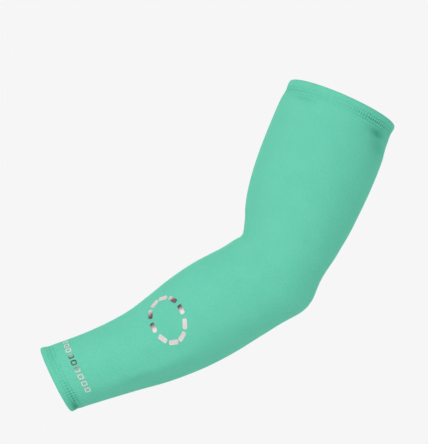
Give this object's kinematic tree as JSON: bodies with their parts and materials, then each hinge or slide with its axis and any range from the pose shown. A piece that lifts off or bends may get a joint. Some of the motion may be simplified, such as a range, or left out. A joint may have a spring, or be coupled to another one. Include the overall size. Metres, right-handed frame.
{
  "type": "compression arm sleeve",
  "caption": "Tube of stretch knit that covers a bent arm from wrist to biceps, with a turned and stitched hem at each end and plain silver foil marks.",
  "frame": {"origin": "corner of the elbow, where the straight axes of the forearm and the upper arm meet, inside the hollow", "axes": "the bend lies in XZ: the upper arm rises towards +X and +Z, the forearm drops towards -X and -Z, and the printed side faces -Y"},
  "size_m": [0.3282, 0.0948, 0.3059],
  "materials": {
    "knit": "matt stretch knit, mint",
    "hem_knit": "matt stretch knit, doubled and coverstitched",
    "foil": "heat-pressed silver foil"
  },
  "bodies": {
    "root": {"sleeve_body": "knit", "wrist_hem": "hem_knit", "biceps_hem": "hem_knit", "forearm_dash_01": "foil", "forearm_dash_02": "foil", "forearm_dash_03": "foil", "forearm_dash_04": "foil", "forearm_dash_05": "foil", "forearm_dash_06": "foil", "forearm_dash_07": "foil", "forearm_dash_08": "foil", "forearm_dash_09": "foil", "forearm_dash_10": "foil", "wrist_square_1": "foil", "wrist_square_2": "foil", "wrist_square_3": "foil", "wrist_square_4": "foil", "wrist_square_5": "foil", "wrist_square_6": "foil", "wrist_square_7": "foil", "wrist_square_8": "foil", "wrist_square_9": "foil"}
  },
  "joints": []
}
